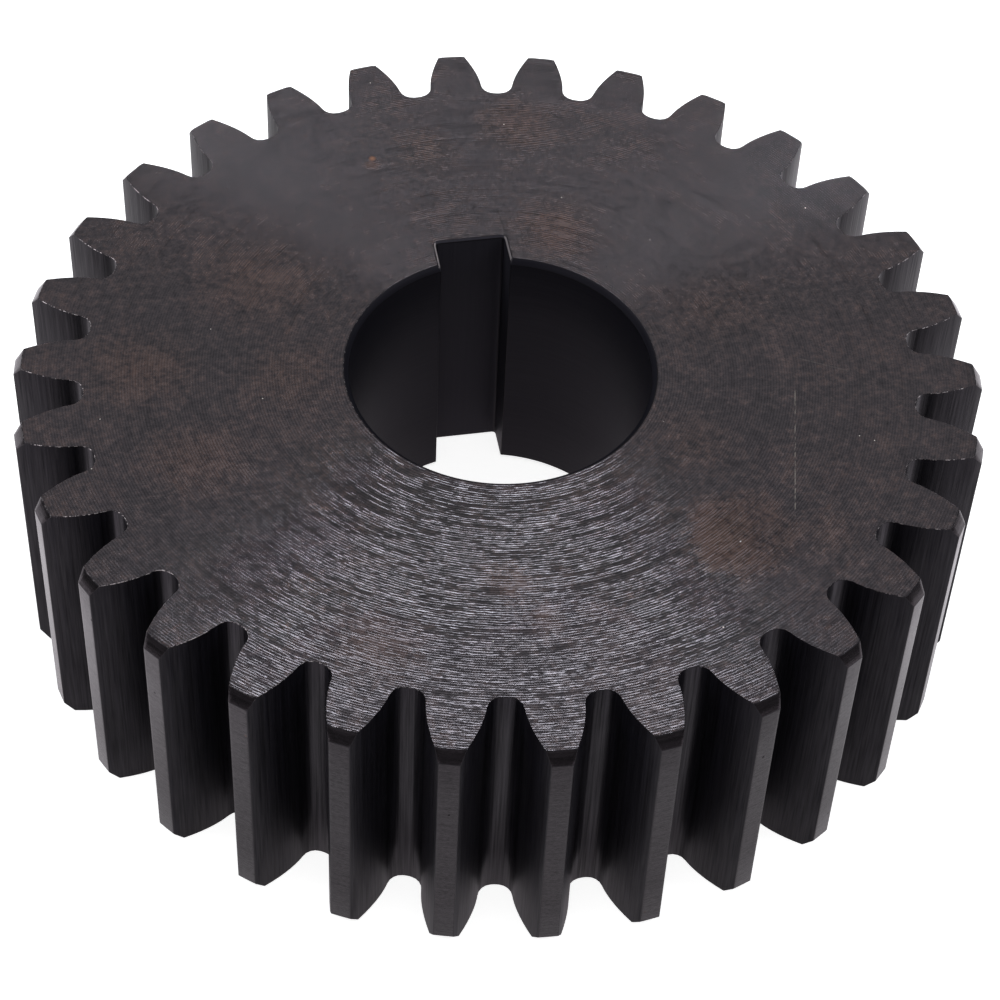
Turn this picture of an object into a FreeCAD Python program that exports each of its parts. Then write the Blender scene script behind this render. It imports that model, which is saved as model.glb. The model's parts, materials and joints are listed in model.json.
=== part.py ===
import FreeCAD, Part
import math
import os
import Sketcher

# Spur gear, cut from one turned steel blank, with a broached keyway.
# Origin: centre of the lower face, on the bore axis. +Z runs up the bore and +Y through the keyway.

V = FreeCAD.Vector

# Sketcher's own numbers for the two ends of an element, its axes and its origin
START = 1
END = 2
AXIS_X = -1
AXIS_Y = -2
ORIGIN = (AXIS_X, START)

# Lengths are in millimetres, angles in degrees, and a ratio counts in modules
SIZES = [
    ("module_size", 2.5, "pitch diameter for each tooth"),
    ("tooth_count", 30, "number of teeth"),
    ("pressure_angle", 20.0, "flank angle of the rack that fits the teeth"),
    ("addendum_ratio", 1.0, "tooth height outside the pitch circle"),
    ("dedendum_ratio", 1.32, "depth of the space inside the pitch circle"),
    ("hob_tip_ratio", 0.43, "rounding at the tip of the hob that cuts the space"),
    ("bottom_radius", 1.15, "radius of the space's bottom"),
    ("flank_thinning", 0.1, "metal taken off each flank for backlash"),
    ("hob_clearance", 1.0, "how far the cut reaches beyond the tooth tips"),
    ("space_turn", 2.65, "turn from the keyway's centre line to the nearest tooth space"),
    ("face_width", 25.0, "length of the teeth along the axis"),
    ("tip_chamfer_length", 1.0, "tip chamfer, along the axis"),
    ("tip_chamfer_depth", 0.7, "tip chamfer, along the radius"),
    ("bore_diameter", 25.0, "bore for the shaft"),
    ("bore_chamfer", 0.45, "chamfer at both mouths of the bore"),
    ("key_width", 6.0, "width of the keyway"),
    ("key_depth", 2.8, "depth of the keyway beyond the bore's wall"),
    ("key_corner", 0.3, "rounding between the keyway's floor and its walls"),
    ("key_edge_break", 0.2, "chamfer along the keyway's walls at both faces"),
]

# What follows from the sizes, for one tooth space with its centre line on +Y. A roll is how far the
# string that draws the involute has unwound from the base circle, in radians, and a lean is the
# angle between the flank and the centre line there. The flank starts at the first point, where the
# rounded tip of the hob lets go, and ends at the last, beyond the tooth tips. Two arcs draw it, and
# meet at the knee: they stay within a hundredth of a millimetre of the involute.
TOOTH_RULES = [
    ("pitch_radius", "sizes.module_size * sizes.tooth_count / 2"),
    ("tip_radius", "teeth.pitch_radius + sizes.addendum_ratio * sizes.module_size"),
    ("root_radius", "teeth.pitch_radius - sizes.dedendum_ratio * sizes.module_size"),
    ("base_radius", "teeth.pitch_radius * cos(sizes.pressure_angle * 1 deg)"),
    ("pressure_sine", "sin(sizes.pressure_angle * 1 deg)"),
    ("pressure_tangent", "tan(sizes.pressure_angle * 1 deg)"),
    ("pressure_involute", "teeth.pressure_tangent - sizes.pressure_angle * pi / 180"),
    ("half_space", "pi / (2 * sizes.tooth_count) + sizes.flank_thinning / teeth.pitch_radius"
                   " - teeth.pressure_involute"),
    ("hob_straight", "sizes.module_size * (sizes.dedendum_ratio"
                     " - sizes.hob_tip_ratio * (1 - teeth.pressure_sine))"),
    ("first_roll", "max(teeth.pressure_tangent"
                   " - teeth.hob_straight / (teeth.pressure_sine * teeth.base_radius); 0.02)"),
    ("last_roll", "sqrt(((teeth.tip_radius + sizes.hob_clearance) / teeth.base_radius)^2 - 1)"),
    ("first_lean", "teeth.half_space + teeth.first_roll"),
    ("last_lean", "teeth.half_space + teeth.last_roll"),
    ("first_sine", "sin(teeth.first_lean * 1 rad)"),
    ("first_cosine", "cos(teeth.first_lean * 1 rad)"),
    ("knee_sine", "sin((teeth.first_lean + teeth.last_lean) / 2 * 1 rad)"),
    ("knee_cosine", "cos((teeth.first_lean + teeth.last_lean) / 2 * 1 rad)"),
    ("last_sine", "sin(teeth.last_lean * 1 rad)"),
    ("last_cosine", "cos(teeth.last_lean * 1 rad)"),
    ("first_x", "teeth.base_radius * (teeth.first_sine - teeth.first_roll * teeth.first_cosine)"),
    ("first_y", "teeth.base_radius * (teeth.first_cosine + teeth.first_roll * teeth.first_sine)"),
    ("last_x", "teeth.base_radius * (teeth.last_sine - teeth.last_roll * teeth.last_cosine)"),
    ("last_y", "teeth.base_radius * (teeth.last_cosine + teeth.last_roll * teeth.last_sine)"),
    ("lower_across", "teeth.first_cosine - teeth.knee_cosine"),
    ("lower_up", "teeth.knee_sine - teeth.first_sine"),
    ("upper_across", "teeth.knee_cosine - teeth.last_cosine"),
    ("upper_up", "teeth.last_sine - teeth.knee_sine"),
    ("spread", "teeth.lower_across * teeth.upper_up - teeth.upper_across * teeth.lower_up"),
    ("lower_radius", "((teeth.last_x - teeth.first_x) * teeth.upper_up"
                     " - (teeth.last_y - teeth.first_y) * teeth.upper_across) / teeth.spread"),
    ("upper_radius", "((teeth.last_y - teeth.first_y) * teeth.lower_across"
                     " - (teeth.last_x - teeth.first_x) * teeth.lower_up) / teeth.spread"),
    ("bottom_centre", "teeth.root_radius + sizes.bottom_radius"),
    ("rise", "teeth.first_y - teeth.bottom_centre"),
    ("side_radius", "(sizes.bottom_radius^2 - teeth.first_x^2 - teeth.rise^2)"
                    " / (2 * (sizes.bottom_radius - teeth.first_x * teeth.first_cosine"
                    " + teeth.rise * teeth.first_sine))"),
    ("side_x", "teeth.first_x - teeth.side_radius * teeth.first_cosine"),
    ("side_y", "teeth.first_y + teeth.side_radius * teeth.first_sine"),
    ("side_stretch", "teeth.side_radius / (teeth.side_radius - sizes.bottom_radius)"),
]

# The tooth space from the middle of its bottom up the +X flank: the corners, the radius of the arc
# that leads on from each, and the side of that arc its centre lies on as the outline is walked
SPACE_SIDE = [
    ("meeting", "teeth.side_x * (1 - teeth.side_stretch)",
     "teeth.side_y + (teeth.bottom_centre - teeth.side_y) * teeth.side_stretch",
     "teeth.side_radius", "left"),
    ("first", "teeth.first_x", "teeth.first_y", "teeth.lower_radius", "right"),
    ("knee", "teeth.first_x + teeth.lower_radius * teeth.lower_across",
     "teeth.first_y + teeth.lower_radius * teeth.lower_up", "teeth.upper_radius", "right"),
    ("last", "teeth.last_x", "teeth.last_y", None, None),
]


def make_sheet(doc):
    """The driving sizes, one to a row: name, value and what it measures."""
    sheet = doc.addObject("Spreadsheet::Sheet", "sizes")
    for row, (alias, value, meaning) in enumerate(SIZES, start=1):
        sheet.set(f"A{row}", alias)
        sheet.set(f"B{row}", str(value))
        sheet.set(f"C{row}", meaning)
        sheet.setAlias(f"B{row}", alias)
    doc.recompute()


def make_tooth_values(doc):
    """The sizes of a tooth space that follow from the driving ones."""
    teeth = doc.addObject("App::VarSet", "teeth")
    for name, rule in TOOTH_RULES:
        teeth.addProperty("App::PropertyFloat", name, "Tooth space")
        teeth.setExpression(name, rule)
    doc.recompute()


def value_of(doc, rule):
    """What a rule gives with the sizes as they stand."""
    return float(doc.getObject("teeth").evalExpression(rule))


def new_sketch(body, name, plane):
    """An empty sketch on one of the body's own origin planes."""
    sketch = body.newObject("Sketcher::SketchObject", name)
    support = next(f for f in body.Origin.OriginFeatures if f.Role == plane)
    sketch.AttachmentSupport = [(support, "")]
    sketch.MapMode = "FlatFace"
    return sketch


def drive(sketch, name, rule, kind, *elements):
    """A constraint whose size follows a rule."""
    value = value_of(sketch.Document, rule)
    index = sketch.addConstraint(Sketcher.Constraint(kind, *elements, value))
    sketch.renameConstraint(index, name)
    sketch.setExpression(f"Constraints.{name}", rule)


def place_point(sketch, name, point, across, up):
    """Holds a point at its rules, measured from the sketch's origin; a 0 puts it on the axis."""
    if across == "0":
        sketch.addConstraint(Sketcher.Constraint("PointOnObject", *point, AXIS_Y))
    else:
        drive(sketch, f"{name}_across", across, "DistanceX", *ORIGIN, *point)
    if up == "0":
        sketch.addConstraint(Sketcher.Constraint("PointOnObject", *point, AXIS_X))
    else:
        drive(sketch, f"{name}_up", up, "DistanceY", *ORIGIN, *point)


def add_side(sketch, start, end, radius, centre_side):
    """A line, or an arc of a radius, from start to end; gives back its two ends for constraints."""
    if radius is None:
        side = sketch.addGeometry(Part.LineSegment(start, end), False)
        return (side, START), (side, END)
    chord = end - start
    left = V(-chord.y, chord.x, 0).normalize()
    offset = left * math.sqrt(radius ** 2 - (chord.Length / 2) ** 2)
    if centre_side == "right":
        offset = -offset
        start, end = end, start
    centre = (start + end) / 2 + offset
    turns = [math.atan2(point.y - centre.y, point.x - centre.x) for point in (start, end)]
    side = sketch.addGeometry(Part.ArcOfCircle(Part.Circle(centre, V(0, 0, 1), radius), *turns), False)
    if centre_side == "right":
        return (side, END), (side, START)
    return (side, START), (side, END)


def add_outline(sketch, corners):
    """A closed outline, walked anticlockwise, with every corner and radius held by its rule.

    A corner is its name, its two rules, and the radius rule and centre side of the arc that leads
    on from it, or None for a straight side.
    """
    doc = sketch.Document
    points = [V(value_of(doc, across), value_of(doc, up), 0) for _, across, up, _, _ in corners]
    following = points[1:] + points[:1]
    ends = []
    for (_, _, _, rule, centre_side), start, end in zip(corners, points, following):
        radius = None if rule is None else value_of(doc, rule)
        ends.append(add_side(sketch, start, end, radius, centre_side))
    for (_, finish), (begin, _) in zip(ends, ends[1:] + ends[:1]):
        sketch.addConstraint(Sketcher.Constraint("Coincident", *finish, *begin))
    for (name, across, up, rule, _), (begin, _) in zip(corners, ends):
        place_point(sketch, name, begin, across, up)
        if rule is not None:
            drive(sketch, f"{name}_radius", rule, "Radius", begin[0])


def cut_through(body, name, sketch):
    """A pocket up the whole width of the blank, from its lower face."""
    pocket = body.newObject("PartDesign::Pocket", name)
    pocket.Profile = sketch
    pocket.Type = "ThroughAll"
    pocket.Reversed = True
    return pocket


def make_blank(body):
    """The turned blank: tips, faces, bore and all four chamfers in one revolved section."""
    shoulder = "teeth.tip_radius - sizes.tip_chamfer_depth"
    bore = "sizes.bore_diameter / 2"
    mouth = "sizes.bore_diameter / 2 + sizes.bore_chamfer"
    corners = [
        ("mouth_low", mouth, "0", None, None),
        ("face_low", shoulder, "0", None, None),
        ("tip_low", "teeth.tip_radius", "sizes.tip_chamfer_length", None, None),
        ("tip_high", "teeth.tip_radius", "sizes.face_width - sizes.tip_chamfer_length", None, None),
        ("face_high", shoulder, "sizes.face_width", None, None),
        ("mouth_high", mouth, "sizes.face_width", None, None),
        ("bore_high", bore, "sizes.face_width - sizes.bore_chamfer", None, None),
        ("bore_low", bore, "sizes.bore_chamfer", None, None),
    ]
    sketch = new_sketch(body, "blank_section", "XZ_Plane")
    add_outline(sketch, corners)
    blank = body.newObject("PartDesign::Revolution", "blank")
    blank.Profile = sketch
    blank.ReferenceAxis = (sketch, ["V_Axis"])
    blank.Angle = 360


def make_space(body):
    """One tooth space: hobbed root, involute flanks and a straight lid outside the tooth tips."""
    mirrored = [(f"far_{name}", f"-({across})", up) for name, across, up, _, _ in SPACE_SIDE[::-1]]
    arcs = [(rule, side) for _, _, _, rule, side in SPACE_SIDE[-2::-1]] + [("sizes.bottom_radius", "left")]
    far_side = [(*corner, *arc) for corner, arc in zip(mirrored, arcs)]
    sketch = new_sketch(body, "space_outline", "XY_Plane")
    sketch.AttachmentOffset = FreeCAD.Placement(V(0, 0, 0), FreeCAD.Rotation(V(0, 0, 1), 1))
    sketch.setExpression("AttachmentOffset.Rotation.Angle", "sizes.space_turn * 1 deg")
    add_outline(sketch, SPACE_SIDE + far_side)
    return cut_through(body, "tooth_space", sketch)


def make_teeth(body, space):
    """The space repeated round the bore axis, which leaves the teeth standing."""
    ring = body.newObject("PartDesign::PolarPattern", "tooth_ring")
    ring.Originals = [space]
    axis = next(f for f in body.Origin.OriginFeatures if f.Role == "Z_Axis")
    ring.Axis = (axis, [""])
    ring.Angle = 360
    ring.setExpression("Occurrences", "sizes.tooth_count")
    body.Tip = ring


def make_keyway(body):
    """The broached keyway, with the rounded corners that the broach leaves at its floor."""
    wall = "sizes.key_width / 2"
    inner = "sizes.key_width / 2 - sizes.key_corner"
    floor = "sizes.bore_diameter / 2 + sizes.key_depth"
    wall_top = "sizes.bore_diameter / 2 + sizes.key_depth - sizes.key_corner"
    corners = [
        ("near_left", f"-({wall})", "0", None, None),
        ("near_right", wall, "0", None, None),
        ("wall_right", wall, wall_top, "sizes.key_corner", "left"),
        ("floor_right", inner, floor, None, None),
        ("floor_left", f"-({inner})", floor, "sizes.key_corner", "left"),
        ("wall_left", f"-({wall})", wall_top, None, None),
    ]
    sketch = new_sketch(body, "keyway_outline", "XY_Plane")
    add_outline(sketch, corners)
    return cut_through(body, "keyway", sketch)


def break_keyway_edges(doc, body, keyway):
    """A small chamfer where the keyway's walls meet the two faces."""
    wall = value_of(doc, "sizes.key_width / 2")
    faces = (0, value_of(doc, "sizes.face_width"))

    def meets_face(edge):
        ends = [vertex.Point for vertex in edge.Vertexes]
        on_wall = all(abs(abs(end.x) - wall) < 1e-6 for end in ends)
        return on_wall and any(all(abs(end.z - face) < 1e-6 for end in ends) for face in faces)

    edges = [f"Edge{i}" for i, edge in enumerate(keyway.Shape.Edges, start=1) if meets_face(edge)]
    edge_break = body.newObject("PartDesign::Chamfer", "keyway_edge_break")
    edge_break.Base = (keyway, edges)
    edge_break.setExpression("Size", "sizes.key_edge_break")


def check(doc, body):
    """Stops if a feature failed, a sketch is loose or the body isn't one sound solid."""
    for item in doc.Objects:
        if "Invalid" in item.State or "Error" in item.State:
            raise RuntimeError(f"{item.Name} failed: {item.State}")
        if item.isDerivedFrom("Sketcher::SketchObject") and not item.FullyConstrained:
            raise RuntimeError(f"{item.Name} isn't fully constrained")
    shape = body.Shape
    if shape.isNull() or not shape.isValid() or len(shape.Solids) != 1:
        raise RuntimeError(f"{body.Label} isn't one sound solid")


def volume_after(doc, body, before, what):
    """The body's volume once a cut is in; stops if the cut took nothing away."""
    doc.recompute()
    after = body.Shape.Volume
    if after >= before:
        raise RuntimeError(f"{what} cut nothing")
    return after


def main():
    doc = FreeCAD.newDocument("spur_gear_document")
    make_sheet(doc)
    make_tooth_values(doc)
    body = doc.addObject("PartDesign::Body", "spur_gear")
    body.Label = "spur_gear"

    make_blank(body)
    doc.recompute()
    volume = body.Shape.Volume
    space = make_space(body)
    volume = volume_after(doc, body, volume, "the tooth space")
    make_teeth(body, space)
    volume = volume_after(doc, body, volume, "the ring of spaces")
    keyway = make_keyway(body)
    volume = volume_after(doc, body, volume, "the keyway")
    break_keyway_edges(doc, body, keyway)
    volume = volume_after(doc, body, volume, "the keyway's edge break")

    check(doc, body)
    os.makedirs("parts", exist_ok=True)
    body.Shape.exportStep(f"parts/{body.Label}.step")
    print(f"{body.Label}: {volume:.0f} cubic mm, {len(body.Shape.Faces)} faces")


main()
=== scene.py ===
import json
import math

import bmesh
import bpy
from mathutils import Matrix, Vector


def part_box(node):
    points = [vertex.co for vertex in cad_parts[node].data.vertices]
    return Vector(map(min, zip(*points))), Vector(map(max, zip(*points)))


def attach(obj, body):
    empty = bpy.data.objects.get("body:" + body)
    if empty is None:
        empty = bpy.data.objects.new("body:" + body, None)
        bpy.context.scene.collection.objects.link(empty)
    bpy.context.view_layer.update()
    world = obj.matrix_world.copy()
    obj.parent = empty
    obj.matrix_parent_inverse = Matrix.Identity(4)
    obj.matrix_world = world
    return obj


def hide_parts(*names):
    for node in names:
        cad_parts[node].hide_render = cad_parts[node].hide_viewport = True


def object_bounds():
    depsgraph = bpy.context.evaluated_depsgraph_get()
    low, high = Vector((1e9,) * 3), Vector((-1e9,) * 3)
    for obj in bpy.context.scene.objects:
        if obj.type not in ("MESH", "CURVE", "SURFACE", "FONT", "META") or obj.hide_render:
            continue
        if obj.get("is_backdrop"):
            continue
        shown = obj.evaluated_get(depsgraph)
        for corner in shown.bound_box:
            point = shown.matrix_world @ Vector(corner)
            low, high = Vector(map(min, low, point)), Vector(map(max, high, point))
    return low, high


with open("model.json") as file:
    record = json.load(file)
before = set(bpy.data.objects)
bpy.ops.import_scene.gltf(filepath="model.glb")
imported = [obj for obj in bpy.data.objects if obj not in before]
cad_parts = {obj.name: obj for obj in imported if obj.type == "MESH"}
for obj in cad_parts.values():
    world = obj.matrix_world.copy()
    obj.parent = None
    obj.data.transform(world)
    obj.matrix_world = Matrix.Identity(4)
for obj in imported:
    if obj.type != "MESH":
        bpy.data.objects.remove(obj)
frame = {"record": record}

# Spur gear of black-finished steel: turned faces, hobbed teeth, a bored hub with a broached keyway.
# Lengths are in metres and angles in radians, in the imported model's own frame: the axis is Z, the
# lower face is at Z 0 and the keyway lies on +Y.

bl_info = {
    "name": "Spur gear",
    "version": (1, 0, 0),
    "blender": (4, 5, 0),
    "location": "3D View > Sidebar > Gear",
    "description": "A hobbed spur gear of black-finished steel on a white stage",
    "category": "Add Mesh",
}

CAD_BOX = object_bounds()
MOUNTS = {mount["name"]: mount for mount in frame["record"]["mounts"]}
TOOTH_COUNT = MOUNTS["teeth"]["dims"]["count"]
PITCH_DIAMETER = MOUNTS["teeth"]["dims"]["pcd_mm"] / 1000
BORE_RADIUS = MOUNTS["bore"]["dims"]["r_mm"] / 1000
FACE_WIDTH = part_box("spur_gear")[1].z

RIGHT_ANGLE = math.radians(90)


class GearSizes(bpy.types.PropertyGroup):
    """The sizes of the gear."""
    teeth: bpy.props.IntProperty(name="Teeth", default=TOOTH_COUNT, min=8,
                                 description="Number of teeth")
    pitch_diameter: bpy.props.FloatProperty(name="Pitch diameter", default=PITCH_DIAMETER, unit="LENGTH",
                                            description="Circle on which the teeth mesh")
    pressure_angle: bpy.props.FloatProperty(name="Pressure angle", default=math.radians(20), subtype="ANGLE",
                                            description="Flank angle of the rack that fits the teeth")
    tip_radius: bpy.props.FloatProperty(name="Tip radius", default=0.04, unit="LENGTH",
                                        description="Radius over the tooth tips")
    root_radius: bpy.props.FloatProperty(name="Root radius", default=0.0342, unit="LENGTH",
                                         description="Radius at the bottom of the tooth spaces")
    bottom_radius: bpy.props.FloatProperty(name="Bottom rounding", default=0.003, unit="LENGTH",
                                           description="Radius of the bottom of a tooth space")
    flank_start: bpy.props.FloatProperty(name="Flank start", default=0.066, subtype="ANGLE",
                                         description="Roll angle at which the flank leaves the root's corner")
    thinning: bpy.props.FloatProperty(name="Flank thinning", default=0.000085, unit="LENGTH",
                                      description="Metal taken off each flank for backlash")
    turn: bpy.props.FloatProperty(name="Turn of the teeth", default=math.radians(2.65), subtype="ANGLE",
                                  description="Turn from the keyway to the nearest tooth space")
    face_width: bpy.props.FloatProperty(name="Face width", default=FACE_WIDTH, unit="LENGTH",
                                        description="Length of the teeth along the axis")
    tip_chamfer_length: bpy.props.FloatProperty(name="Tip chamfer length", default=0.001, unit="LENGTH",
                                                description="Tip chamfer along the axis")
    tip_chamfer_depth: bpy.props.FloatProperty(name="Tip chamfer depth", default=0.0007, unit="LENGTH",
                                               description="Tip chamfer along the radius")
    rim_radius: bpy.props.FloatProperty(name="Rim radius", default=0.031, unit="LENGTH",
                                        description="Circle where the toothed rim joins the hub")
    bore_radius: bpy.props.FloatProperty(name="Bore radius", default=BORE_RADIUS, unit="LENGTH",
                                         description="Radius of the bore for the shaft")
    bore_chamfer: bpy.props.FloatProperty(name="Bore chamfer", default=0.00045, unit="LENGTH",
                                          description="Chamfer at both mouths of the bore")
    key_width: bpy.props.FloatProperty(name="Keyway width", default=0.006, unit="LENGTH",
                                       description="Width of the keyway")
    key_depth: bpy.props.FloatProperty(name="Keyway depth", default=0.0028, unit="LENGTH",
                                       description="Depth of the keyway beyond the bore")
    key_corner: bpy.props.FloatProperty(name="Keyway corner", default=0.0003, unit="LENGTH",
                                        description="Rounding between the keyway's floor and its walls")
    key_break: bpy.props.FloatProperty(name="Keyway edge break", default=0.0002, unit="LENGTH",
                                       description="Chamfer round the keyway at both faces")
    edge_round: bpy.props.FloatProperty(name="Edge rounding", default=0.00005, unit="LENGTH",
                                        description="Rounding left on the sharp edges")
    sharp_angle: bpy.props.FloatProperty(name="Sharp angle", default=math.radians(28), subtype="ANGLE",
                                         description="Bend from which an edge counts as sharp")


class SteelLook(bpy.types.PropertyGroup):
    """The colours and tool marks of the steel."""
    black: bpy.props.FloatVectorProperty(name="Black finish", size=3, subtype="COLOR", min=0, max=1,
                                         default=(0.005, 0.0045, 0.0055),
                                         description="Colour of the black oxide coat")
    haze: bpy.props.FloatVectorProperty(name="Oil haze", size=3, subtype="COLOR", min=0, max=1,
                                        default=(0.011, 0.0095, 0.0115),
                                        description="Colour where the dried oil is thick")
    rust: bpy.props.FloatVectorProperty(name="Rust", size=3, subtype="COLOR", min=0, max=1,
                                        default=(0.041, 0.018, 0.0095),
                                        description="Colour of the rust specks")
    # Uncoated steel: also the colour of the painted glints on the gear's edges and along the top of the
    # keyway walls.
    bare_and_glint: bpy.props.FloatVectorProperty(name="Bare steel", size=3, subtype="COLOR", min=0, max=1,
                                        default=(0.46, 0.41, 0.42),
                                        description="Colour where the finish has worn off an edge")
    groove_pitch: bpy.props.FloatProperty(name="Groove pitch", default=0.000231, unit="LENGTH",
                                          description="Spacing of the turned grooves on the faces")
    groove_slope: bpy.props.FloatProperty(name="Groove slope", default=0.01,
                                          description="Usual slope of the grooves' outer sides")
    groove_hollow: bpy.props.FloatProperty(name="Groove hollow", default=0.07,
                                           description="How far the slope bends across a groove")
    groove_spread: bpy.props.FloatProperty(name="Groove spread", default=0.1,
                                           description="How much the outer sides' slope varies")
    groove_back_slope: bpy.props.FloatProperty(name="Groove back slope", default=0.3,
                                               description="Steepest slope of the grooves' inner sides")


class StageLook(bpy.types.PropertyGroup):
    """The floor, the lamps and the camera."""
    floor_colour: bpy.props.FloatVectorProperty(name="Floor", size=3, subtype="COLOR", min=0, max=1,
                                                default=(0.8, 0.8, 0.8), description="Colour of the floor")
    floor_glow: bpy.props.FloatProperty(name="Floor glow", default=0.84, min=0, max=1,
                                        description="Brightness added to the floor for the camera alone")
    aim: bpy.props.FloatVectorProperty(name="Aim", size=3, subtype="TRANSLATION",
                                       default=(-0.001243, -0.008164, 0.017749),
                                       description="Point that the camera looks at")
    azimuth: bpy.props.FloatProperty(name="Camera azimuth", default=math.radians(-102.185), subtype="ANGLE",
                                     description="Direction of the camera, turned from +X")
    elevation: bpy.props.FloatProperty(name="Camera elevation", default=math.radians(48.664),
                                       subtype="ANGLE", description="Height of the camera above the floor")
    roll: bpy.props.FloatProperty(name="Camera roll", default=math.radians(-2.9637), subtype="ANGLE",
                                  description="Turn of the camera about its own axis")
    distance: bpy.props.FloatProperty(name="Camera distance", default=0.24037, unit="LENGTH",
                                      description="From the camera to the point it looks at")
    lens: bpy.props.FloatProperty(name="Lens", default=105.01, description="Focal length in millimetres")
    lamp_colour: bpy.props.FloatVectorProperty(name="Lamps", size=3, subtype="COLOR", min=0, max=1,
                                               default=(0.88, 0.96, 1.0), description="Colour of the lamps")
    box_power: bpy.props.FloatProperty(name="Overhead softbox", default=0.88, unit="POWER",
                                       description="Power of the softbox above the gear")
    side_power: bpy.props.FloatProperty(name="Side softboxes", default=0.8, unit="POWER",
                                        description="Power of each softbox beside the gear")


# Arithmetic in node trees

class Sum:
    """A number in a node tree. Arithmetic on it adds the nodes that work it out."""

    def __init__(self, tree, socket):
        self.tree = tree
        self.socket = socket

    def work(self, operation, *others):
        return worked_out(self.tree, operation, self, *others)

    def __add__(self, other):
        return self.work("ADD", other)

    def __radd__(self, other):
        return self.work("ADD", other)

    def __sub__(self, other):
        return self.work("SUBTRACT", other)

    def __rsub__(self, other):
        return worked_out(self.tree, "SUBTRACT", other, self)

    def __mul__(self, other):
        return self.work("MULTIPLY", other)

    def __rmul__(self, other):
        return self.work("MULTIPLY", other)

    def __truediv__(self, other):
        return self.work("DIVIDE", other)

    def __rtruediv__(self, other):
        return worked_out(self.tree, "DIVIDE", other, self)

    def __pow__(self, other):
        return self.work("POWER", other)

    def sine(self):
        return self.work("SINE")

    def cosine(self):
        return self.work("COSINE")

    def root(self):
        return self.work("SQRT")

    def size(self):
        return self.work("ABSOLUTE")

    def sign(self):
        return self.work("SIGN")

    def above(self, other):
        return self.work("GREATER_THAN", other)

    def at_least(self, other):
        return self.work("MAXIMUM", other)

    def at_most(self, other):
        return self.work("MINIMUM", other)

    def within(self, low=0.0, high=1.0):
        return self.at_least(low).at_most(high)

    def ramp(self, start, end):
        """0 before start, 1 after end and straight between them."""
        return ((self - start) / (end - start)).within()

    def smooth(self, start, end):
        """0 before start, 1 after end and a smooth rise between them."""
        node = self.tree.nodes.new("ShaderNodeMapRange")
        node.interpolation_type = "SMOOTHSTEP"
        feed(self.tree, node.inputs["Value"], self)
        feed(self.tree, node.inputs["From Min"], start)
        feed(self.tree, node.inputs["From Max"], end)
        return Sum(self.tree, node.outputs["Result"])


def worked_out(tree, operation, *values):
    node = tree.nodes.new("ShaderNodeMath")
    node.operation = operation
    for socket, value in zip(node.inputs, values):
        feed(tree, socket, value)
    return Sum(tree, node.outputs[0])


def feed(tree, socket, value):
    """Sets a socket to a plain value, or links it to what the tree works out."""
    if isinstance(value, Sum):
        value = value.socket
    if isinstance(value, bpy.types.NodeSocket):
        tree.links.new(value, socket)
    else:
        socket.default_value = value


def vector(tree, x, y, z):
    node = tree.nodes.new("ShaderNodeCombineXYZ")
    for socket, value in zip(node.inputs, (x, y, z)):
        feed(tree, socket, value)
    return node.outputs[0]


def parts_of(tree, socket):
    node = tree.nodes.new("ShaderNodeSeparateXYZ")
    tree.links.new(socket, node.inputs[0])
    return [Sum(tree, output) for output in node.outputs]


# The toothed rim

COLUMNS_BOTTOM = 4
COLUMNS_SIDE = 4
COLUMNS_FLANK = 10
COLUMNS_LAND = 4
HALF_COLUMNS = COLUMNS_BOTTOM + COLUMNS_SIDE + COLUMNS_FLANK + COLUMNS_LAND
ROWS_FACE = 2
ROWS_WALL = 5

# The tips and their chamfers start this far above the root
TIP_START = 0.003
# Points that lie no further apart than this are joined
WELD = 0.000004
# How flat a face has to lie to be turned, and how squarely a tip or its chamfer has to face out or up
TURNED_FLATNESS = 0.9
TIP_FACING = 0.85


def half_space_outline(tree, size, count):
    """Where the outline of a tooth space runs, from the middle of its bottom (count 0) to the middle of
    the next tooth (count HALF_COLUMNS). The space's centre line is +Y. Gives the point and its radius."""
    pitch = size["Pitch Radius"]
    cosine = size["Pressure Angle"].cosine()
    tangent = size["Pressure Angle"].work("TANGENT")
    base = pitch * cosine
    half_pitch = math.pi / size["Teeth"]
    half_space = half_pitch / 2 + size["Flank Thinning"] / pitch - (tangent - size["Pressure Angle"])
    first = size["Flank Start"]
    last = ((size["Tip Radius"] / base) ** 2 - 1).root()

    def flank(roll):
        lean = half_space + roll
        return base * (lean.sine() - roll * lean.cosine()), base * (lean.cosine() + roll * lean.sine())

    first_lean = half_space + first
    first_x, first_y = flank(first)
    bottom = size["Bottom Rounding"]
    bottom_y = size["Root Radius"] + bottom
    rise = first_y - bottom_y
    side = ((bottom * bottom - first_x * first_x - rise * rise)
            / (2 * (bottom - first_x * first_lean.cosine() + rise * first_lean.sine())))
    side_x = first_x - side * first_lean.cosine()
    side_y = first_y + side * first_lean.sine()
    side_end = RIGHT_ANGLE - first_lean
    side_start = side_x.work("ARCTAN2", bottom_y - side_y)

    reached = 0
    shares = []
    for columns in (COLUMNS_BOTTOM, COLUMNS_SIDE, COLUMNS_FLANK, COLUMNS_LAND):
        shares.append(count.ramp(reached, reached + columns))
        reached += columns
    turn = side_start * shares[0]
    x = bottom * turn.sine()
    y = bottom_y - bottom * turn.cosine()
    turn = side_start + (side_end - side_start) * shares[1]
    x = x + side * (turn.sine() - side_start.sine())
    y = y - side * (turn.cosine() - side_start.cosine())
    flank_x, flank_y = flank(first + (last - first) * shares[2])
    x = x + flank_x - first_x
    y = y + flank_y - first_y
    corner = half_space + last - last.work("ARCTANGENT")
    turn = corner + (half_pitch - corner) * shares[3]
    x = x + size["Tip Radius"] * (turn.sine() - corner.sine())
    y = y + size["Tip Radius"] * (turn.cosine() - corner.cosine())
    return x, y, (x * x + y * y).root()


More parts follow.
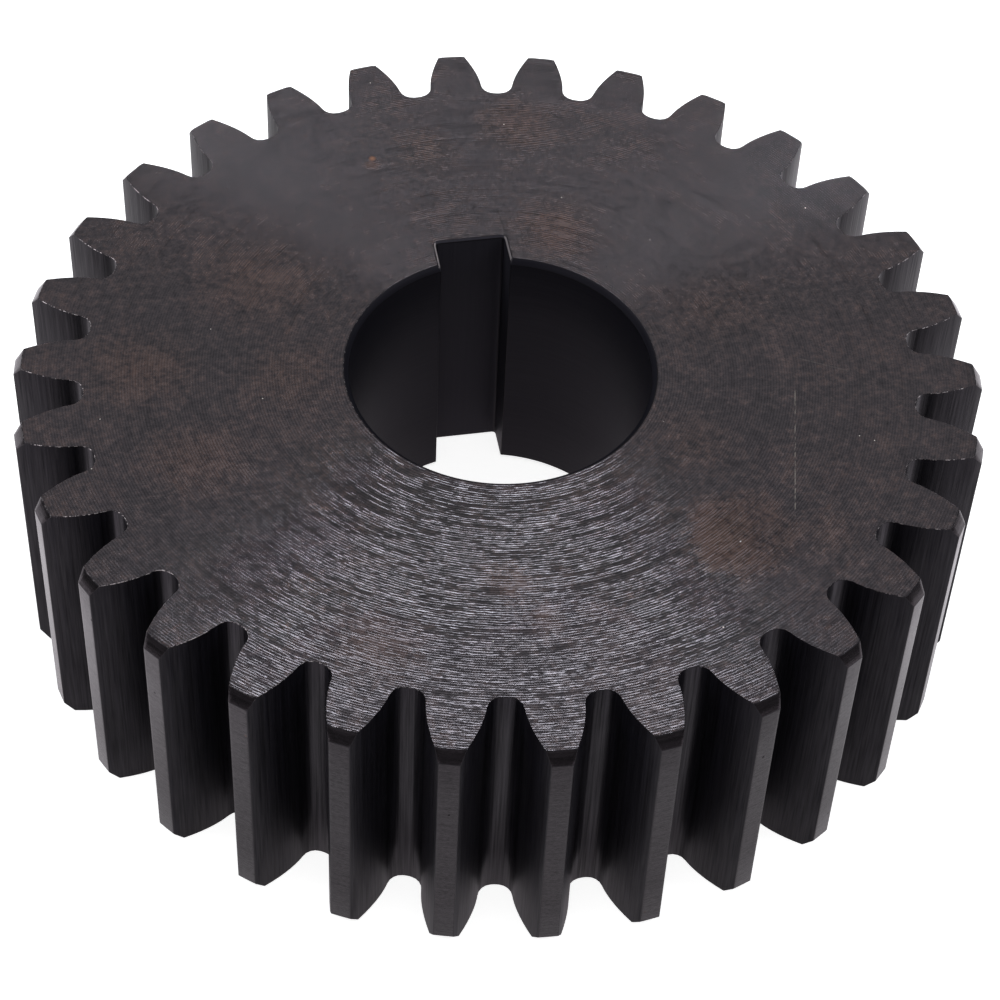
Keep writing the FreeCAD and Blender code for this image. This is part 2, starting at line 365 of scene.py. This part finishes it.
def rim_tree(name):
    """The tree that adds the toothed rim to the hub: one tooth space is shaped by rule and repeated round
    the axis."""
    tree = bpy.data.node_groups.new(name, "GeometryNodeTree")
    tree.interface.new_socket("Hub", in_out="INPUT", socket_type="NodeSocketGeometry")
    tree.interface.new_socket("Teeth", in_out="INPUT", socket_type="NodeSocketInt")
    for label in ("Pitch Radius", "Pressure Angle", "Tip Radius", "Root Radius", "Bottom Rounding",
                  "Flank Start", "Flank Thinning", "Turn", "Face Width", "Tip Chamfer Length",
                  "Tip Chamfer Depth", "Rim Radius"):
        tree.interface.new_socket(label, in_out="INPUT", socket_type="NodeSocketFloat")
    for label in ("Face Steel", "Flank Steel", "Tip Steel"):
        tree.interface.new_socket(label, in_out="INPUT", socket_type="NodeSocketMaterial")
    tree.interface.new_socket("Gear", in_out="OUTPUT", socket_type="NodeSocketGeometry")
    entry = tree.nodes.new("NodeGroupInput")
    size = {output.name: Sum(tree, output) for output in entry.outputs if output.name}

    def add(kind, **values):
        node = tree.nodes.new("GeometryNode" + kind)
        for key, value in values.items():
            feed(tree, node.inputs[key.replace("_", " ")], value)
        return node

    columns = 2 * HALF_COLUMNS
    rows = 2 * ROWS_FACE + ROWS_WALL + 2
    grid = add("MeshGrid", Size_X=1.0, Size_Y=1.0, Vertices_X=columns + 1, Vertices_Y=rows + 1)
    index = Sum(tree, add("InputIndex").outputs[0])
    column = ((index + 0.5) / (rows + 1)).work("FLOOR")
    row = index - column * (rows + 1)
    across = column - HALF_COLUMNS
    outline_x, outline_y, radius = half_space_outline(tree, size, across.size())
    outline_x = outline_x * across.sign()

    shoulder = size["Tip Radius"] - size["Tip Chamfer Depth"]
    shrink = (shoulder / radius).at_most(1.0)
    drop = (radius - shoulder).at_least(0.0) * size["Tip Chamfer Length"] / size["Tip Chamfer Depth"]
    wall_start = ROWS_FACE + 1
    wall_end = wall_start + ROWS_WALL
    on_wall = row.ramp(ROWS_FACE, wall_start) - row.ramp(wall_end, wall_end + 1)
    down = row.ramp(wall_start, wall_end)
    inward = 1 - row.ramp(0, ROWS_FACE) + row.ramp(wall_end + 1, rows)
    scale = shrink + (1 - shrink) * on_wall
    rim_turn = across * (math.pi / HALF_COLUMNS) / size["Teeth"]
    x = outline_x * scale
    y = outline_y * scale
    x = x + (size["Rim Radius"] * rim_turn.sine() - x) * inward
    y = y + (size["Rim Radius"] * rim_turn.cosine() - y) * inward
    top = size["Face Width"] - drop * on_wall
    z = top + (drop * on_wall - top) * down
    placed = add("SetPosition", Geometry=grid.outputs["Mesh"], Position=vector(tree, x, y, z))

    spots = add("Points", Count=size["Teeth"])
    turn = size["Turn"] + index * (2 * math.pi) / size["Teeth"]
    ring = add("InstanceOnPoints", Points=spots.outputs[0], Instance=placed.outputs[0],
               Rotation=vector(tree, 0.0, 0.0, turn))
    teeth = add("RealizeInstances", Geometry=ring.outputs[0])
    joined = add("JoinGeometry")
    tree.links.new(entry.outputs["Hub"], joined.inputs[0])
    tree.links.new(teeth.outputs[0], joined.inputs[0])
    painted = add("MergeByDistance", Geometry=joined.outputs[0], Distance=WELD)

    normal_x, normal_y, normal_z = parts_of(tree, add("InputNormal").outputs["Normal"])
    place_x, place_y, _ = parts_of(tree, add("InputPosition").outputs[0])
    flat = normal_z.size()
    far = (place_x * place_x + place_y * place_y).root()
    outward = (normal_x * place_x + normal_y * place_y) / far
    is_rim = far.above(size["Rim Radius"])
    is_tip = (far - size["Root Radius"]).above(TIP_START) * (outward + flat).above(TIP_FACING)
    is_flat = flat.above(TURNED_FLATNESS)
    for chosen, label in ((is_rim, "Flank Steel"), (is_tip, "Tip Steel"), (is_flat, "Face Steel")):
        painted = add("SetMaterial", Geometry=painted.outputs[0], Selection=chosen, Material=size[label])
    leave = tree.nodes.new("NodeGroupOutput")
    tree.links.new(painted.outputs[0], leave.inputs[0])
    return tree


# The hub

KEY_FLOOR_COLUMNS = 10
KEY_CORNER_COLUMNS = 3
KEY_WALL_COLUMNS = 14
KEY_COLUMNS = KEY_FLOOR_COLUMNS + KEY_CORNER_COLUMNS + KEY_WALL_COLUMNS
FACE_RINGS = 3
WALL_RINGS = 5


def direction(turn):
    """The direction across the axis that is turned from +X towards +Y."""
    return Vector((math.cos(turn), math.sin(turn)))


def hub_outline(sizes, columns):
    """The bore and keyway, walked once round from the middle of the keyway's floor. Each stop gives its
    point, where its edge break meets the face, and how far the break reaches down the wall."""
    wall = sizes.key_width / 2
    bore = sizes.bore_radius
    mouth = bore + sizes.bore_chamfer
    floor = bore + sizes.key_depth
    corner = sizes.key_corner
    cut = sizes.key_break
    wall_foot = math.sqrt(bore ** 2 - wall ** 2)
    meeting = Vector((wall + cut, math.sqrt(mouth ** 2 - (wall + cut) ** 2)))
    span = math.asin(wall / bore)
    stops = []
    for step in range(columns):
        away = min(step, columns - step)
        side = -1 if step <= columns - step else 1
        if away <= KEY_FLOOR_COLUMNS:
            point = Vector(((wall - corner) * away / KEY_FLOOR_COLUMNS, floor))
            edge = point + Vector((0, cut))
            depth = cut
        elif away < KEY_FLOOR_COLUMNS + KEY_CORNER_COLUMNS:
            out = direction(RIGHT_ANGLE * (1 - (away - KEY_FLOOR_COLUMNS) / KEY_CORNER_COLUMNS))
            point = Vector((wall - corner, floor - corner)) + out * corner
            edge = point + out * cut
            depth = cut
        elif away <= KEY_COLUMNS:
            share = (away - KEY_FLOOR_COLUMNS - KEY_CORNER_COLUMNS) / KEY_WALL_COLUMNS
            point = Vector((wall, floor - corner + (wall_foot - floor + corner) * share))
            edge = Vector((wall + cut, max(point.y, meeting.y)))
            depth = max(cut, mouth - point.length)
        else:
            share = (away - KEY_COLUMNS) / (columns / 2 - KEY_COLUMNS)
            out = direction(RIGHT_ANGLE - span - (math.pi - span) * share)
            point = out * bore
            edge = out * mouth
            if edge.x < meeting.x and edge.y > 0:
                edge = meeting.copy()
            depth = sizes.bore_chamfer
        stops.append((Vector((point.x * side, point.y)), Vector((edge.x * side, edge.y)), depth))
    return stops


def hub_mesh(name, sizes, face, keyway, bore, wear_and_glint):
    """The hub inside the toothed rim: two turned faces, the bore and the keyway, in their steels. The edge
    steel, with wear and painted glints, is there for the edges, which are rounded later."""
    columns = 2 * HALF_COLUMNS * sizes.teeth
    step = 2 * math.pi / columns
    stops = hub_outline(sizes, columns)
    shift = round(sizes.turn / step)
    width = sizes.face_width
    rim = [direction(RIGHT_ANGLE + sizes.turn + (index - shift) * step) * sizes.rim_radius
           for index in range(columns)]
    edges = [edge for _, edge, _ in stops]
    middle = [outer * 0.35 + inner * 0.65 for outer, inner in zip(rim, edges)]
    flat_rings = (rim, middle, edges)
    rings = [[(p.x, p.y, width) for p in ring] for ring in flat_rings]
    for level in range(WALL_RINGS):
        share = level / (WALL_RINGS - 1)
        rings.append([(p.x, p.y, (width - depth) * (1 - share) + depth * share) for p, _, depth in stops])
    rings += [[(p.x, p.y, 0) for p in ring] for ring in reversed(flat_rings)]
    faces = []
    kinds = []
    for lower in range(len(rings) - 1):
        for index in range(columns):
            following = (index + 1) % columns
            faces.append((lower * columns + index, lower * columns + following,
                          (lower + 1) * columns + following, (lower + 1) * columns + index))
            on_face = not FACE_RINGS - 1 <= lower <= len(rings) - 1 - FACE_RINGS
            in_keyway = min(index + 0.5, columns - index - 0.5) < KEY_COLUMNS
            kinds.append(0 if on_face else 1 if in_keyway else 2)
    mesh = bpy.data.meshes.new(name)
    mesh.from_pydata([point for ring in rings for point in ring], [], faces)
    for material in (face, keyway, bore, wear_and_glint):
        mesh.materials.append(material)
    mesh.polygons.foreach_set("material_index", kinds)
    mesh.update()
    return mesh


def made_plain(item):
    """Turns what an object's modifiers make into its own mesh, removes them, drops empty material slots
    and closes the mesh up."""
    graph = bpy.context.evaluated_depsgraph_get()
    mesh = bpy.data.meshes.new_from_object(item.evaluated_get(graph))
    item.modifiers.clear()
    item.data = mesh
    for slot in reversed(range(len(mesh.materials))):
        if mesh.materials[slot] is None:
            mesh.materials.pop(index=slot)
    shape = bmesh.new()
    shape.from_mesh(mesh)
    bmesh.ops.remove_doubles(shape, verts=shape.verts, dist=WELD / 2)
    bmesh.ops.dissolve_degenerate(shape, edges=shape.edges, dist=WELD / 2)
    bmesh.ops.recalc_face_normals(shape, faces=shape.faces)
    shape.to_mesh(mesh)
    shape.free()
    return mesh


# Steel. Places and sizes in the materials are in millimetres.

# Where rust has settled on the faces: turn from +X in degrees, distance from the axis, size and strength
RUST_PATCHES = [
    (64, 17.5, 6.0, 0.6), (78, 30.5, 5.0, 0.6), (94, 27.0, 4.5, 0.4), (146, 22.5, 8.0, 0.35),
    (172, 29.5, 7.0, 0.45), (174, 17.0, 6.0, 0.35), (195, 27.0, 6.0, 0.4), (243, 31.0, 5.0, 0.55),
    (262, 23.0, 3.0, 0.55), (267, 26.8, 2.4, 0.5), (305, 25.5, 5.5, 0.6), (316, 31.0, 4.0, 0.3),
    (323, 17.5, 5.0, 0.3), (13, 19.5, 6.0, 0.3), (105, 26.8, 1.2, 0.8),
]

# The two scratches on the upper face, from end to end
LONG_SCRATCH = ((23.55, -5.9), (20.2, -19.6))
SHORT_SCRATCH = ((24.6, -2.5), (28.6, -4.6))
SCRATCHED = (0.13, 0.115, 0.1)
ORANGE_RUST = (0.16, 0.06, 0.02)
DUST = (0.5, 0.46, 0.42)


def new_material(name):
    material = bpy.data.materials.new(name)
    material.use_nodes = True
    tree = material.node_tree
    tree.nodes.clear()
    return material, tree


def steel(name, refraction, tint):
    """A steel that mirrors by its index of refraction, with the mirrored light tinted. Gives the
    material, its tree, its shader's inputs and the place on the object as x, y and z."""
    material, tree = new_material(name)
    shader = tree.nodes.new("ShaderNodeBsdfPrincipled")
    shader.inputs["IOR"].default_value = refraction
    shader.inputs["Specular Tint"].default_value = (*tint, 1.0)
    output = tree.nodes.new("ShaderNodeOutputMaterial")
    tree.links.new(shader.outputs[0], output.inputs["Surface"])
    coordinates = tree.nodes.new("ShaderNodeTexCoord")
    place = [part * 1000 for part in parts_of(tree, coordinates.outputs["Object"])]
    return material, tree, shader.inputs, place


def noise(tree, x, y, z, detail=3.0, roughness=0.6):
    node = tree.nodes.new("ShaderNodeTexNoise")
    node.inputs["Scale"].default_value = 1.0
    node.inputs["Detail"].default_value = detail
    node.inputs["Roughness"].default_value = roughness
    tree.links.new(vector(tree, x, y, z), node.inputs["Vector"])
    return Sum(tree, node.outputs["Fac"])


def blend(tree, share, first, second):
    node = tree.nodes.new("ShaderNodeMix")
    node.data_type = "RGBA"
    feed(tree, node.inputs["Factor"], share)
    for socket, colour in ((node.inputs[6], first), (node.inputs[7], second)):
        feed(tree, socket, colour if isinstance(colour, bpy.types.NodeSocket) else (*colour, 1.0))
    return node.outputs[2]


def bump(tree, height, strength, distance):
    """A normal bent by a height. The distance is how far 1 of it stands out, in metres."""
    node = tree.nodes.new("ShaderNodeBump")
    node.inputs["Strength"].default_value = strength
    node.inputs["Distance"].default_value = distance
    feed(tree, node.inputs["Height"], height)
    return node.outputs[0]


def to_world(tree, socket):
    node = tree.nodes.new("ShaderNodeVectorTransform")
    node.vector_type = "NORMAL"
    node.convert_from = "OBJECT"
    node.convert_to = "WORLD"
    tree.links.new(socket, node.inputs[0])
    return node.outputs[0]


def spot(tree, place, x, y, size):
    """1 at a place on the faces, fading to 0 at its size from there."""
    node = tree.nodes.new("ShaderNodeVectorMath")
    node.operation = "DISTANCE"
    tree.links.new(place, node.inputs[0])
    node.inputs[1].default_value = (x, y, 0.0)
    return Sum(tree, node.outputs["Value"]).smooth(size, 0.0)


def specks(tree, place, spacing, size, share):
    """1 on small round specks strewn about the spacing apart, of which only a share is there."""
    node = tree.nodes.new("ShaderNodeTexVoronoi")
    node.inputs["Scale"].default_value = 1 / spacing
    tree.links.new(place, node.inputs["Vector"])
    chance = parts_of(tree, node.outputs["Color"])[0]
    there = chance.ramp(1 - share, 1.01 - share)
    return Sum(tree, node.outputs["Distance"]).smooth(size / spacing, size / spacing / 2) * there


def scratch(x, y, ends, width):
    """1 along a straight scratch on the faces between its ends."""
    start, end = (Vector(place) for place in ends)
    length = (end - start).length
    run = (end - start) / length
    off = ((x - start.x) * run.y - (y - start.y) * run.x).size()
    along = (x - start.x) * run.x + (y - start.y) * run.y
    return off.smooth(width, width / 3) * along.ramp(0, 0.5) * along.ramp(length, length - 0.5)


def turned_steel(look):
    """The two faces: concentric grooves from the lathe, dried oil, rust, scratches and dust."""
    material, tree, inputs, (x, y, z) = steel("turned_face_steel", 1.5, (0.95, 0.84, 0.93))
    far = (x * x + y * y).root()
    flat = vector(tree, x, y, 0.0)
    upper = z.ramp(12.0, 13.0)

    # Grooves: the outer side of each one is gently hollow and catches the light, the inner side is steep
    round_x = x / far
    round_y = y / far
    rings = noise(tree, round_x * 1.2, round_y * 1.2, far * 1.6, detail=2.0, roughness=0.7)
    streaks = noise(tree, x * 0.35, y * 0.35, far * 4.3, detail=2.0, roughness=0.7)
    grain = noise(tree, x * 1.1, y * 1.1, far * 4.5, detail=1.0, roughness=0.5)
    phase = far * (2 * math.pi / (look.groove_pitch * 1000)) + rings * 4.0
    wave = phase.sine()
    uneven = (rings - 0.5) * 5.0 + (streaks - 0.5) * 4.6 + (grain - 0.5) * 3.3
    outer = look.groove_slope + uneven * look.groove_spread + phase.cosine() * look.groove_hollow
    inner = (wave + 0.62).at_most(0.0) * 2.6 * look.groove_back_slope
    slope = outer.at_least(-0.03) * wave.ramp(-0.8, -0.6) + inner
    facing = (z - 10.0).sign()
    feed(tree, inputs["Normal"], to_world(tree, vector(tree, round_x * slope, round_y * slope, facing)))

    # Colour: haze on black, then rust in patches, a stain and a fleck, scratches and dust
    cloud = noise(tree, x * 0.09, y * 0.09, 3.0)
    blotch = noise(tree, x * 0.5, y * 0.5, 7.0, detail=6.0, roughness=0.7)
    fine = noise(tree, x * 1.7, y * 1.7, 11.0, detail=5.0, roughness=0.8)
    patches = cloud * 0.8
    for turn, away, size, strength in RUST_PATCHES:
        centre = direction(math.radians(turn)) * away
        patches = patches + spot(tree, flat, centre.x, centre.y, size) * strength
    stain = (spot(tree, flat, 15.7, -20.6, 6.4) * 1.6 + blotch - 0.7).within() * upper
    stain_rim = stain * (1 - stain) * 4.0
    rusted = (patches + stain_rim * 0.25 + blotch * 1.4 + fine * 2.6).smooth(2.2, 3.3)
    fleck = spot(tree, flat, -6.8, 26.6, 0.45) * upper
    broken = (streaks * 0.4 + grain * 0.6).smooth(0.47, 0.55)
    scratched = scratch(x, y, LONG_SCRATCH, 0.06) * broken + scratch(x, y, SHORT_SCRATCH, 0.09) * 0.16
    colour = blend(tree, (blotch * 0.5 + cloud * 0.5).smooth(0.35, 0.65), look.black, look.haze)
    for share, over in ((rusted, look.rust), (fleck, ORANGE_RUST), (scratched * upper, SCRATCHED),
                        (specks(tree, flat, 1.1, 0.07, 0.07), DUST)):
        colour = blend(tree, share, colour, over)
    feed(tree, inputs["Base Color"], colour)
    feed(tree, inputs["Roughness"], 0.13 + 0.04 * cloud + 0.07 * rusted)
    feed(tree, inputs["Specular IOR Level"],
         0.5 - 0.12 * stain + (fine - 0.5) * 1.0 + (blotch - 0.5) * 0.4 + wave * streaks * 0.14)
    return material


def hobbed_steel():
    """The tooth flanks and roots: glossy black with fine marks along the tooth."""
    material, tree, inputs, (x, y, z) = steel("hobbed_flank_steel", 1.22, (0.98, 0.88, 1.0))
    streak = noise(tree, x * 3.5, y * 3.5, z * 0.08, roughness=0.65)
    lines = noise(tree, x * 7.0, y * 7.0, z * 0.2, detail=2.0)
    foot = (x * x + y * y).root().smooth(34.75, 34.6)
    colour = blend(tree, streak.smooth(0.3, 0.8), (0.0032, 0.0029, 0.0042), (0.008, 0.0075, 0.0105))
    feed(tree, inputs["Base Color"], colour)
    feed(tree, inputs["Normal"], bump(tree, streak, 0.5, 0.00004))
    feed(tree, inputs["Roughness"], 0.34 + 0.2 * streak - 0.1 * foot)
    feed(tree, inputs["Specular IOR Level"],
         0.5 + foot * streak.ramp(0.35, 0.65) * 0.6 + (lines - 0.5) * 1.1)
    return material


def tip_steel(look):
    """The tooth tips and their chamfers: fine turning marks round the gear, pits and rust specks."""
    material, tree, inputs, (x, y, z) = steel("turned_tip_steel", 1.33, (1.0, 0.86, 0.95))
    marks = noise(tree, x * 0.3, y * 0.3, z * 6.0)
    fine = noise(tree, x * 3.0, y * 3.0, z * 9.0, roughness=0.7)
    place = vector(tree, x, y, z)
    pits = specks(tree, place, 1.3, 0.16, 0.25)
    colour = blend(tree, marks.smooth(0.3, 0.8), (0.006, 0.0052, 0.006), (0.012, 0.010, 0.012))
    feed(tree, inputs["Base Color"], blend(tree, specks(tree, place, 1.9, 0.18, 0.2), colour, look.rust))
    feed(tree, inputs["Normal"], bump(tree, marks, 0.4, 0.00002))
    feed(tree, inputs["Roughness"], 0.2 + 0.06 * marks)
    feed(tree, inputs["Specular IOR Level"], 0.5 + (fine - 0.5) * 1.0 + (marks - 0.5) * 0.5 - 0.4 * pits)
    return material


def bored_steel():
    """The bore's wall and chamfers: fine marks round it from the boring tool."""
    material, tree, inputs, (x, y, z) = steel("bored_wall_steel", 1.27, (0.95, 0.85, 1.0))
    marks = noise(tree, x * 0.15, y * 0.15, z * 5.0)
    colour = blend(tree, marks.smooth(0.3, 0.8), (0.0065, 0.0062, 0.0092), (0.0105, 0.0102, 0.0138))
    feed(tree, inputs["Base Color"], colour)
    feed(tree, inputs["Normal"], bump(tree, marks, 0.4, 0.00002))
    feed(tree, inputs["Roughness"], 0.42 + 0.1 * marks)
    feed(tree, inputs["Specular IOR Level"], 0.5 - 0.3 * z.ramp(24.5, 24.6))
    return material


def broached_steel(look):
    """The keyway: straight broach marks along the axis, a black lightened as painted light against the shade
    inside the keyway, and along the top of its walls uncoated steel, partly wear and partly a painted
    highlight.
    """
    material, tree, inputs, (x, y, z) = steel("broached_keyway_steel", 1.32, (0.95, 0.85, 1.0))
    marks = noise(tree, x * 3.0, y * 3.0, z * 0.06)
    rub_and_glint_noise = noise(tree, x * 1.5, y * 1.5, z * 1.5, roughness=0.7)
    # Painted highlight with wear: uncoated steel along the top of the keyway walls, full on the left wall and
    # weaker on the right.
    lip = z.ramp(24.78, 24.84) * y.ramp(15.5, 15.3)
    wear_and_glint = lip * (x.ramp(-2.97, -3.02) + x.ramp(2.97, 3.02) * 0.4) * rub_and_glint_noise.ramp(0.2, 0.5)
    # Painted light: the keyway's black is lighter than the bore's to make up for the shade inside the keyway.
    colour = blend(tree, marks.smooth(0.3, 0.8), (0.016, 0.0155, 0.021), (0.022, 0.0215, 0.028))
    feed(tree, inputs["Base Color"], blend(tree, wear_and_glint, colour, look.bare_and_glint))
    feed(tree, inputs["Metallic"], wear_and_glint * 0.6)
    feed(tree, inputs["Normal"], bump(tree, marks, 0.4, 0.00003))
    feed(tree, inputs["Roughness"], 0.5 + 0.1 * marks)
    return material


def edge_wear_and_glint_steel(look):
    """The sharp edges: uncoated steel in places, partly wear from handling and partly painted glints, laid
    only on the face and flank edges at the left and right of the gear.
    """
    material, tree, inputs, (x, y, z) = steel("edge_wear_and_glint_steel", 1.27, (0.98, 0.88, 1.0))
    rub_and_glint_noise = noise(tree, x * 2.4, y * 2.4, z * 2.4, roughness=0.75)
    # Painted glints: the uncoated steel is laid only at the left and right of the gear, stronger on the left,
    # not at its front or back, and only along the upper face, less at the tooth tips.
    side = x.ramp(-8.0, -26.0) + x.ramp(18.0, 34.0) * 0.7
    top = z.ramp(24.6, 24.85) * (1 - 0.8 * (x * x + y * y).root().ramp(38.7, 39.1))
    wear_and_glint = (rub_and_glint_noise + side * 0.06).smooth(0.53, 0.66) * side * top
    feed(tree, inputs["Base Color"], blend(tree, wear_and_glint, look.black, look.bare_and_glint))
    feed(tree, inputs["Metallic"], wear_and_glint * 0.8)
    feed(tree, inputs["Roughness"], 0.38)
    return material


def floor_paper(look):
    """White paper. The glow on it shows only to the camera and in what the steel mirrors, so it lights
    nothing. The steel sees less of it straight in front of the gear than out at the sides."""
    material, tree = new_material("white_floor_paper")
    paper = tree.nodes.new("ShaderNodeBsdfDiffuse")
    paper.inputs["Color"].default_value = (*look.floor_colour, 1.0)
    glow = tree.nodes.new("ShaderNodeEmission")
    path = tree.nodes.new("ShaderNodeLightPath")
    camera, glossy, through = (Sum(tree, path.outputs[f"Is {kind} Ray"])
                               for kind in ("Camera", "Glossy", "Transmission"))
    coordinates = tree.nodes.new("ShaderNodeTexCoord")
    beside = parts_of(tree, coordinates.outputs["Object"])[0].size().smooth(0.03, 0.06)
    seen = camera.at_least(through) * look.floor_glow
    feed(tree, glow.inputs["Strength"], seen.at_least(glossy * (0.4 + 0.6 * beside)))
    feed(tree, glow.inputs["Color"], blend(tree, glossy, (1.0, 1.0, 1.0), (1.0, 0.9, 0.98)))
    both = tree.nodes.new("ShaderNodeAddShader")
    tree.links.new(paper.outputs[0], both.inputs[0])
    tree.links.new(glow.outputs[0], both.inputs[1])
    output = tree.nodes.new("ShaderNodeOutputMaterial")
    tree.links.new(both.outputs[0], output.inputs["Surface"])
    return material


# Operators

def link(item):
    bpy.context.scene.collection.objects.link(item)
    return item


class GEAR_OT_build_gear(bpy.types.Operator):
    """Build the gear: the hub, the toothed rim round it and its steel"""
    bl_idname = "gear.build_gear"
    bl_label = "Build the gear"

    def execute(self, context):
        sizes = context.scene.gear_sizes
        look = context.scene.steel_look
        face = turned_steel(look)
        wear_and_glint = edge_wear_and_glint_steel(look)
        hub = hub_mesh("gear_hub", sizes, face, broached_steel(look), bored_steel(), wear_and_glint)
        gear = link(bpy.data.objects.new("spur_gear_dressed", hub))
        self.add_rim(gear, {
            "Teeth": sizes.teeth, "Pitch Radius": sizes.pitch_diameter / 2,
            "Pressure Angle": sizes.pressure_angle, "Tip Radius": sizes.tip_radius,
            "Root Radius": sizes.root_radius, "Bottom Rounding": sizes.bottom_radius,
            "Flank Start": sizes.flank_start, "Flank Thinning": sizes.thinning,
            "Turn": sizes.turn, "Face Width": sizes.face_width,
            "Tip Chamfer Length": sizes.tip_chamfer_length, "Tip Chamfer Depth": sizes.tip_chamfer_depth,
            "Rim Radius": sizes.rim_radius, "Face Steel": face, "Flank Steel": hobbed_steel(),
            "Tip Steel": tip_steel(look),
        })
        mesh = self.round_edges(gear, sizes, wear_and_glint)
        mesh.name = "spur_gear_steel"
        mesh.shade_smooth()
        mesh.set_sharp_from_angle(angle=sizes.sharp_angle)
        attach(gear, "root")
        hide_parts("spur_gear")
        return {"FINISHED"}

    def add_rim(self, gear, inputs):
        modifier = gear.modifiers.new("Toothed rim", "NODES")
        modifier.node_group = rim_tree("Toothed rim")
        for item in modifier.node_group.interface.items_tree:
            if item.in_out == "INPUT" and item.name in inputs:
                modifier[item.identifier] = inputs[item.name]
        made_plain(gear)

    def round_edges(self, gear, sizes, wear_and_glint):
        modifier = gear.modifiers.new("Edge rounding", "BEVEL")
        modifier.width = sizes.edge_round
        modifier.segments = 2
        modifier.limit_method = "ANGLE"
        modifier.angle_limit = sizes.sharp_angle
        modifier.use_clamp_overlap = False
        modifier.material = gear.data.materials.find(wear_and_glint.name)
        return made_plain(gear)


class GEAR_OT_build_stage(bpy.types.Operator):
    """Build the stage: the white floor, the lamps, the world and the camera"""
    bl_idname = "gear.build_stage"
    bl_label = "Build the stage"

    def execute(self, context):
        look = context.scene.stage_look
        self.add_floor(look)
        self.add_world(context)
        self.add_camera(context, look)
        self.add_lamp("overhead_softbox", look, (-0.0028, 0.326, 0.575), (0.239, 0.05), look.box_power,
                      level=True)
        self.add_lamp("left_softbox", look, (-0.45, 0.0, 0.5), (0.3, 0.3), look.side_power)
        self.add_lamp("right_softbox", look, (0.45, 0.0, 0.5), (0.3, 0.3), look.side_power)
        return {"FINISHED"}

    def add_floor(self, look):
        mesh = bpy.data.meshes.new("floor")
        half = 3.0
        below = -0.00002
        mesh.from_pydata([(-half, -half, below), (half, -half, below), (half, half, below),
                          (-half, half, below)], [], [(0, 1, 2, 3)])
        mesh.materials.append(floor_paper(look))
        link(bpy.data.objects.new("floor", mesh))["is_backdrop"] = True

    def add_world(self, context):
        """A white room: dim near the floor, bright overhead, and white wherever the camera sees it."""
        world = bpy.data.worlds.new("white_room")
        world.use_nodes = True
        context.scene.world = world
        tree = world.node_tree
        tree.nodes.clear()
        sky = tree.nodes.new("ShaderNodeBackground")
        path = tree.nodes.new("ShaderNodeLightPath")
        camera, through = (Sum(tree, path.outputs[f"Is {kind} Ray"]) for kind in ("Camera", "Transmission"))
        coordinates = tree.nodes.new("ShaderNodeTexCoord")
        height = parts_of(tree, coordinates.outputs["Generated"])[2]
        glow = 0.2 + 0.8 * height.smooth(0.36, 0.7)
        feed(tree, sky.inputs["Strength"], glow.at_least(camera.at_least(through)))
        output = tree.nodes.new("ShaderNodeOutputWorld")
        tree.links.new(sky.outputs[0], output.inputs["Surface"])
        context.scene.view_settings.view_transform = "Standard"

    def add_camera(self, context, look):
        turn = Matrix.Rotation(look.azimuth + RIGHT_ANGLE, 3, "Z")
        back = turn @ Vector((0, -math.cos(look.elevation), math.sin(look.elevation)))
        across = turn @ Vector((1, 0, 0))
        up = back.cross(across)
        side = across * math.cos(look.roll) - up * math.sin(look.roll)
        rise = across * math.sin(look.roll) + up * math.cos(look.roll)
        data = bpy.data.cameras.new("camera")
        data.lens = look.lens
        data.sensor_width = 36
        data.clip_start = 0.01
        camera = link(bpy.data.objects.new("camera", data))
        facing = Matrix((side, rise, back)).transposed()
        place = Vector(look.aim) + back * look.distance
        camera.matrix_world = Matrix.Translation(place) @ facing.to_4x4()
        context.scene.camera = camera

    def add_lamp(self, name, look, place, size, power, level=False):
        """A softbox at a place from the gear, where +Y is away from the camera. It faces the gear, or
        straight down when it is level."""
        data = bpy.data.lights.new(name, "AREA")
        data.shape = "RECTANGLE"
        data.size, data.size_y = size
        data.energy = power
        data.color = look.lamp_colour
        lamp = link(bpy.data.objects.new(name, data))
        turn = Matrix.Rotation(look.azimuth + RIGHT_ANGLE, 3, "Z")
        lamp.location = turn @ Vector(place)
        facing = turn if level else lamp.location.to_track_quat("Z", "Y").to_matrix()
        lamp.rotation_euler = facing.to_euler()


class GEAR_PT_panel(bpy.types.Panel):
    """Sizes, looks and buttons for the gear"""
    bl_label = "Spur gear"
    bl_idname = "GEAR_PT_panel"
    bl_space_type = "VIEW_3D"
    bl_region_type = "UI"
    bl_category = "Gear"

    def draw(self, context):
        for group in (context.scene.gear_sizes, context.scene.steel_look, context.scene.stage_look):
            box = self.layout.box()
            for name in group.__annotations__:
                box.prop(group, name)
        for operator in OPERATORS:
            self.layout.operator(operator.bl_idname)


GROUPS = {"gear_sizes": GearSizes, "steel_look": SteelLook, "stage_look": StageLook}
OPERATORS = (GEAR_OT_build_gear, GEAR_OT_build_stage)


def register():
    for name, group in GROUPS.items():
        bpy.utils.register_class(group)
        setattr(bpy.types.Scene, name, bpy.props.PointerProperty(type=group))
    for item in (*OPERATORS, GEAR_PT_panel):
        bpy.utils.register_class(item)


def unregister():
    for item in (GEAR_PT_panel, *reversed(OPERATORS)):
        bpy.utils.unregister_class(item)
    for name, group in reversed(GROUPS.items()):
        delattr(bpy.types.Scene, name)
        bpy.utils.unregister_class(group)


def main():
    register()
    bpy.ops.gear.build_stage()
    bpy.ops.gear.build_gear()
    boxes = {"cad": CAD_BOX, "visual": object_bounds()}
    {name: [list(corner) for corner in box] for name, box in boxes.items()}


if __name__ == "__main__":
    main()
